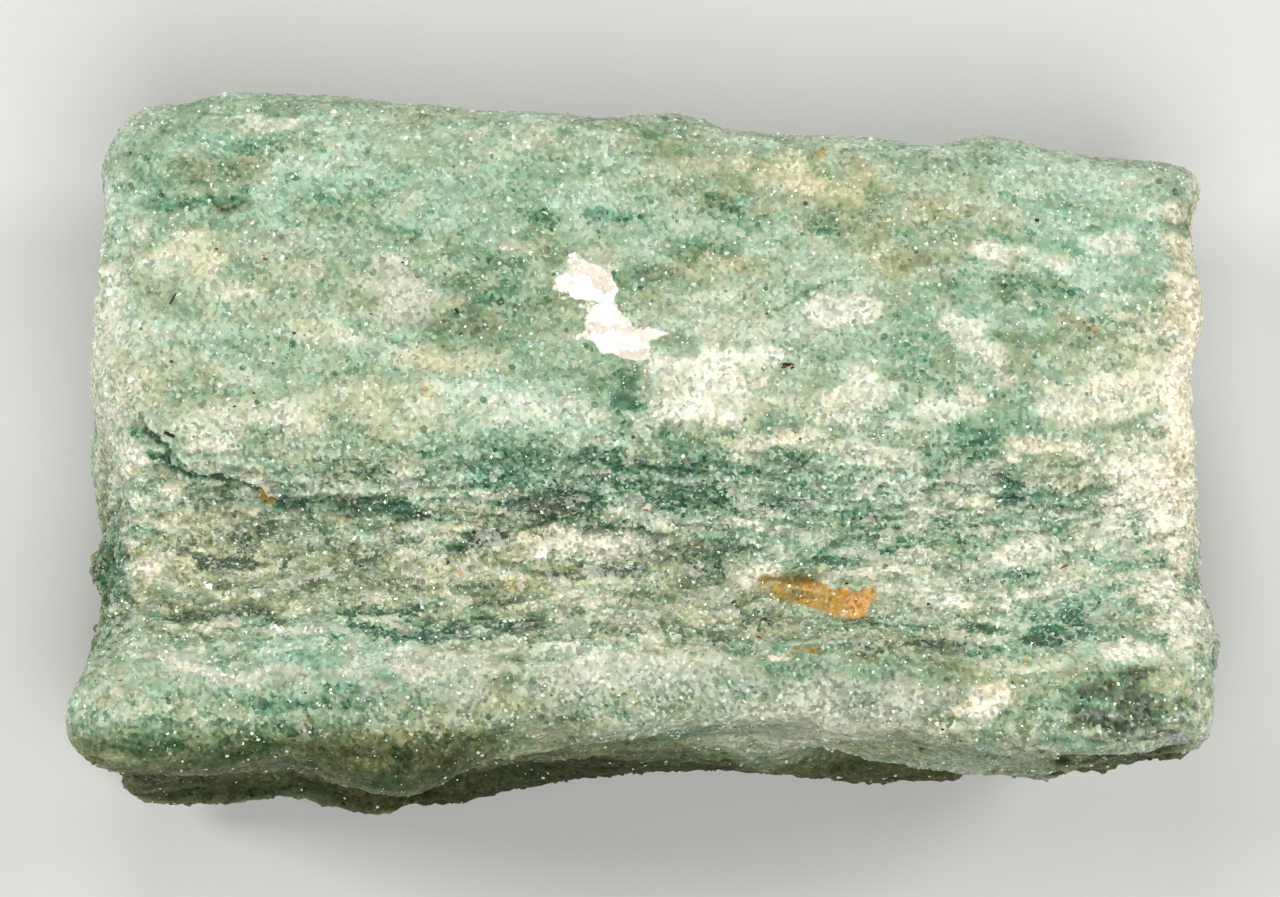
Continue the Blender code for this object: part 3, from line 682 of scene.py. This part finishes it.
quartzite = quartzite_material("green_mica_quartzite")
stone_mesh.materials.clear()
stone_mesh.materials.append(quartzite)
stone = put_in_scene("quartzite_stone", stone_mesh)
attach(stone, "root")
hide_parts("aventurine_stone")


# Quartz grains
# Single grains of the quartz sand, up to three quarters of a millimetre across, that
# the break left standing out of the surface. Each is sunk a little past its middle.
GRAIN_COUNT = 8500

# The radii of the grains in mm, and how deep each is sunk as a share of its radius
GRAIN_SMALLEST = 0.11
GRAIN_LARGEST = 0.30
GRAIN_SUNK = 0.25


def surface_spots(mesh, count, seed, weight):
    """Random spots on the mesh, with their normals, a vertex beside each, and the draws."""
    draws = np.random.default_rng(seed)
    corners = np.empty(len(mesh.polygons) * 3, dtype=np.int64)
    mesh.polygons.foreach_get("vertices", corners)
    corners = corners.reshape(-1, 3)
    places = places_of(mesh)
    a, b, c = (places[corners[:, i]] for i in range(3))
    cross = np.cross(b - a, c - a)
    area = np.linalg.norm(cross, axis=1) / 2
    chance = area * weight[corners].mean(axis=1)
    chosen = draws.choice(len(corners), count, p=chance / chance.sum())
    share = np.sqrt(draws.random(count))[:, None]
    slide = draws.random(count)[:, None]
    spots = a[chosen] * (1 - share) + b[chosen] * share * (1 - slide) + c[chosen] * share * slide
    normals = cross[chosen] / (2 * area[chosen][:, None])
    return spots, normals, corners[chosen, 0], draws


def repeated(shape, name, spots, turns, scales):
    """One mesh with a copy of the shape at each spot, turned and scaled."""
    points = np.array([v.co for v in shape.verts])
    shape.verts.ensure_lookup_table()
    faces = np.array([[v.index for v in f.verts] for f in shape.faces])
    copies = np.einsum("nij,nvj->nvi", turns, points[None] * scales[:, None]) + spots[:, None]
    joined = (faces[None] + (np.arange(len(spots)) * len(points))[:, None, None]).reshape(-1, 3)
    mesh = bpy.data.meshes.new(name)
    mesh.from_pydata(copies.reshape(-1, 3) * MM, [], joined)
    mesh.validate()
    return mesh


grain_shape = bmesh.new()
bmesh.ops.create_icosphere(grain_shape, subdivisions=1, radius=1)
above_floor = eased(places[:, 2], 0.5, 1.5)
grain_chance = above_floor * (0.6 + on_rim)
spots, normals, beside, draws = surface_spots(stone_mesh, GRAIN_COUNT, 7, grain_chance)
sizes = GRAIN_SMALLEST + (GRAIN_LARGEST - GRAIN_SMALLEST) * draws.random(GRAIN_COUNT) ** 2.2
scales = sizes[:, None] * draws.uniform(0.65, 1.25, (GRAIN_COUNT, 3))
angles = draws.uniform(0, 6.28, (GRAIN_COUNT, 3))
turns = np.array([Euler(angle).to_matrix() for angle in angles])
centres = spots - normals * (GRAIN_SUNK * sizes)[:, None]
grain_mesh = repeated(grain_shape, "quartz_grains", centres, turns, scales)

# Each grain takes the minerals and painted shade of the stone beside it, with its own share of green and no
# crease shade or dirt
for name, amount in minerals_and_shade.items():
    own = amount[beside]
    if name == "green":
        own = own + draws.normal(0, 0.16, GRAIN_COUNT)
    if name == "crease":
        own = np.minimum(own, 0)
    store(grain_mesh, name, np.repeat(own, len(grain_shape.verts)))
grain_shape.free()
grain_mesh.materials.append(quartzite)
quartz_grains = put_in_scene("quartz_grains", grain_mesh)
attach(quartz_grains, "root")


# Mica flakes
# Thin plates of green chromium mica, a tenth to four tenths of a millimetre across,
# that lie in the quartz near its layers. They are what makes aventurine glint.
FLAKE_COUNT = 12000

# The smallest radius, what the largest adds to it, and how far a flake stands out, all in mm
FLAKE_SMALLEST = 0.045
FLAKE_SPREAD = 0.12
FLAKE_LIFT = 0.02

# Each flake keeps this share of the thickness of the plate it is made from
FLAKE_THICKNESS = 0.5

flake_shape = bmesh.new()
bmesh.ops.create_cone(flake_shape, cap_ends=True, segments=4, radius1=1, radius2=0.9, depth=0.3)
bmesh.ops.triangulate(flake_shape, faces=flake_shape.faces)
flake_chance = above_floor * (0.7 + 0.6 * np.clip(green, 0, 1)) * (1 - 0.8 * np.clip(dark, 0, 1))
spots, normals, _, draws = surface_spots(stone_mesh, FLAKE_COUNT, 8, flake_chance)
lean = normals + draws.normal(0, 0.33, (FLAKE_COUNT, 3))
lean /= np.linalg.norm(lean, axis=1)[:, None]
spins = draws.uniform(0, 6.28, FLAKE_COUNT)
turns = np.array([Vector(direction).to_track_quat("Z", "Y").to_matrix() @ Matrix.Rotation(spin, 3, "Z")
                  for direction, spin in zip(lean, spins)])
sizes = FLAKE_SMALLEST + FLAKE_SPREAD * draws.random(FLAKE_COUNT) ** 3
lengths = draws.uniform(0.7, 1.3, FLAKE_COUNT)
widths = np.ones(FLAKE_COUNT)
thicknesses = np.full(FLAKE_COUNT, FLAKE_THICKNESS)
scales = sizes[:, None] * np.stack([lengths, widths, thicknesses], axis=1)
flake_mesh = repeated(flake_shape, "mica_flakes", spots + normals * FLAKE_LIFT, turns, scales)
flake_shape.free()


def plain_material(name, hex_colour, roughness):
    """A material with one even colour and roughness."""
    material = bpy.data.materials.new(name)
    material.use_nodes = True
    shader = material.node_tree.nodes["Principled BSDF"]
    shader.inputs["Base Color"].default_value = linear(hex_colour)
    shader.inputs["Roughness"].default_value = roughness
    return material


# Mica splits into mirror-flat plates, so it is glossier than the quartz around it
mica = plain_material("silvery_green_mica", "D5DFCF", 0.16)
mica_shader = mica.node_tree.nodes["Principled BSDF"]
mica_shader.inputs["IOR"].default_value = 1.6
mica_shader.inputs["Specular IOR Level"].default_value = 0.9
flake_mesh.materials.append(mica)
mica_flakes = put_in_scene("mica_flakes", flake_mesh)
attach(mica_flakes, "root")


# Dark needles
# Needles and grains of black hornblende, up to a millimetre long, in the upper side of
# the stone. Each row is place, length and width, all in mm, and turn in degrees.
NEEDLES = (
    (-31.9, 9.0, 1.05, 0.16, 62), (-32.1, -0.4, 0.75, 0.30, -22), (26.7, 14.5, 0.26, 0.26, 0),
    (-23.7, 6.5, 0.22, 0.20, 0), (-32.0, 4.6, 0.22, 0.20, 0), (-12.7, 8.0, 0.36, 0.22, -50),
    (-26.4, 2.4, 0.16, 0.14, 0), (-27.7, 1.5, 0.18, 0.14, 0), (-27.2, 5.2, 0.13, 0.12, 0),
    (-29.0, 12.3, 0.16, 0.13, 0), (-16.4, 11.3, 0.15, 0.13, 0), (5.9, 15.0, 0.26, 0.20, 70),
    (-13.3, -8.7, 0.22, 0.20, 0), (-19.2, -9.0, 0.20, 0.18, 0), (13.7, -10.2, 0.20, 0.18, 0),
    (10.5, -0.8, 0.18, 0.15, 0), (-10.1, -17.0, 0.16, 0.14, 0), (19.2, -11.6, 0.20, 0.18, 0),
    (32.3, -14.0, 0.20, 0.17, 0), (20.1, -20.2, 0.18, 0.16, 0), (-22.8, -17.9, 0.16, 0.14, 0),
    (9.6, 4.25, 0.50, 0.26, 0), (10.0, 4.05, 0.24, 0.18, 30),
)

# The height in mm from which each row's place is dropped onto the stone
ABOVE_STONE = 60


def on_upper_side(surface, rows):
    """The spots of the rows on the surface below them, and the turns that lay them flat."""
    spots = []
    turns = []
    for x, y, _, _, turn in rows:
        spot, normal = surface.ray_cast(Vector((x, y, ABOVE_STONE)) * MM, Vector((0, 0, -1)))[:2]
        spots.append(spot / MM)
        angle = math.radians(turn)
        along = Vector((math.cos(angle), math.sin(angle), 0))
        along -= along.dot(normal) * normal
        turns.append(along.to_track_quat("Z", "Y").to_matrix())
    return np.array(spots), np.array(turns)


surface = BVHTree.FromPolygons([v.co for v in stone_mesh.vertices],
                               [f.vertices for f in stone_mesh.polygons])
needle_shape = bmesh.new()
bmesh.ops.create_cone(needle_shape, cap_ends=True, segments=6, radius1=0.5, radius2=0.4, depth=1)
bmesh.ops.triangulate(needle_shape, faces=needle_shape.faces)
spots, turns = on_upper_side(surface, NEEDLES)
scales = np.array([(width, width, length) for _, _, length, width, _ in NEEDLES])
needle_mesh = repeated(needle_shape, "dark_needles", spots, turns, scales)
needle_shape.free()

# Hornblende is nearly black, and its broken needles have a dull gloss
hornblende = plain_material("black_hornblende", "141A14", 0.4)
needle_mesh.materials.append(hornblende)
dark_needles = put_in_scene("dark_needles", needle_mesh)
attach(dark_needles, "root")


# Rust specks
# Small grains of iron ore that have rusted in place and stained what is around them.
# Each row is place, length and width, all in mm, and turn in degrees.
RUST_SPECKS = (
    (9.45, 4.1, 0.55, 0.30, 10), (9.95, 4.3, 0.45, 0.26, -20), (-36.1, -14.7, 0.40, 0.20, -15),
    (-35.7, -14.2, 0.32, 0.12, 0), (-35.3, -17.0, 0.34, 0.13, 0), (0.1, -5.3, 0.42, 0.20, -15),
    (28.4, -9.0, 0.66, 0.22, 24), (-25.7, 11.6, 0.40, 0.26, -10), (31.4, -17.2, 0.45, 0.24, 0),
    (-18.5, 7.8, 0.34, 0.18, 0), (7.7, -14.0, 0.40, 0.24, 0), (16.4, -8.9, 0.30, 0.22, 0),
)
ORANGE_SPECKS = (
    (-14.8, 2.6, 0.36, 0.42, 0), (30.5, 6.8, 0.46, 0.28, 0), (12.2, 19.3, 0.36, 0.30, 0),
    (-14.4, 2.1, 0.28, 0.22, 0), (25.7, -15.6, 0.40, 0.30, 30), (-12.4, -9.5, 0.40, 0.26, 60),
)

# The specks are flattened to this share of their width
SPECK_THICKNESS = 0.7
SPECKS = (("rust_specks", RUST_SPECKS, "7A3416"), ("orange_specks", ORANGE_SPECKS, "D98A35"))

speck_shape = bmesh.new()
bmesh.ops.create_icosphere(speck_shape, subdivisions=1, radius=0.5)
for name, rows, hex_colour in SPECKS:
    spots, turns = on_upper_side(surface, rows)
    scales = np.array([(SPECK_THICKNESS * width, width, length) for _, _, length, width, _ in rows])
    speck_mesh = repeated(speck_shape, name, spots, turns, scales)
    iron_ore = plain_material(name.replace("specks", "iron_ore"), hex_colour, 0.6)
    speck_mesh.materials.append(iron_ore)
    specks = put_in_scene(name, speck_mesh)
    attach(specks, "root")
speck_shape.free()


# Floor
# A plain pale matt sheet of card, four metres wide, that the stone lies on. It is
# staging and no part of the stone.
FLOOR_HALF_WIDTH = 2.0

floor_mesh = bpy.data.meshes.new("pale_floor")
bm = bmesh.new()
bmesh.ops.create_grid(bm, x_segments=1, y_segments=1, size=FLOOR_HALF_WIDTH)
bm.to_mesh(floor_mesh)
bm.free()
floor_mesh.materials.append(plain_material("matt_pale_card", "C4C4C0", 0.9))
floor = put_in_scene("pale_floor", floor_mesh)


# Lights
# Small soft boxes at both ends and behind the stone make its long edges bright and its
# grains glint. A larger one above the front keeps the broad face and the slopes even.
# Each row is a name, a place and a width in metres, and a power in watts.
LIGHTS = (
    ("left_soft_box", (-0.42, 0.08, 0.30), 0.13, 1.35),
    ("right_soft_box", (0.42, 0.08, 0.30), 0.13, 1.15),
    ("back_soft_box", (-0.05, 0.45, 0.36), 0.16, 1.0),
    ("top_soft_box", (0.04, -0.24, 0.56), 0.30, 2.8),
)
for name, place, size, power in LIGHTS:
    light_data = bpy.data.lights.new(name, "AREA")
    light_data.size = size
    light_data.energy = power
    light = put_in_scene(name, light_data)
    light.location = place
    light.rotation_euler = (Vector(place) - AIM).to_track_quat("Z", "Y").to_euler()
world = bpy.data.worlds.new("soft_room")
world.use_nodes = True
room = world.node_tree.nodes["Background"]
room.inputs["Color"].default_value = linear("E8ECEC")
room.inputs["Strength"].default_value = 0.12
bpy.context.scene.world = world
bpy.context.scene.view_settings.view_transform = "Standard"
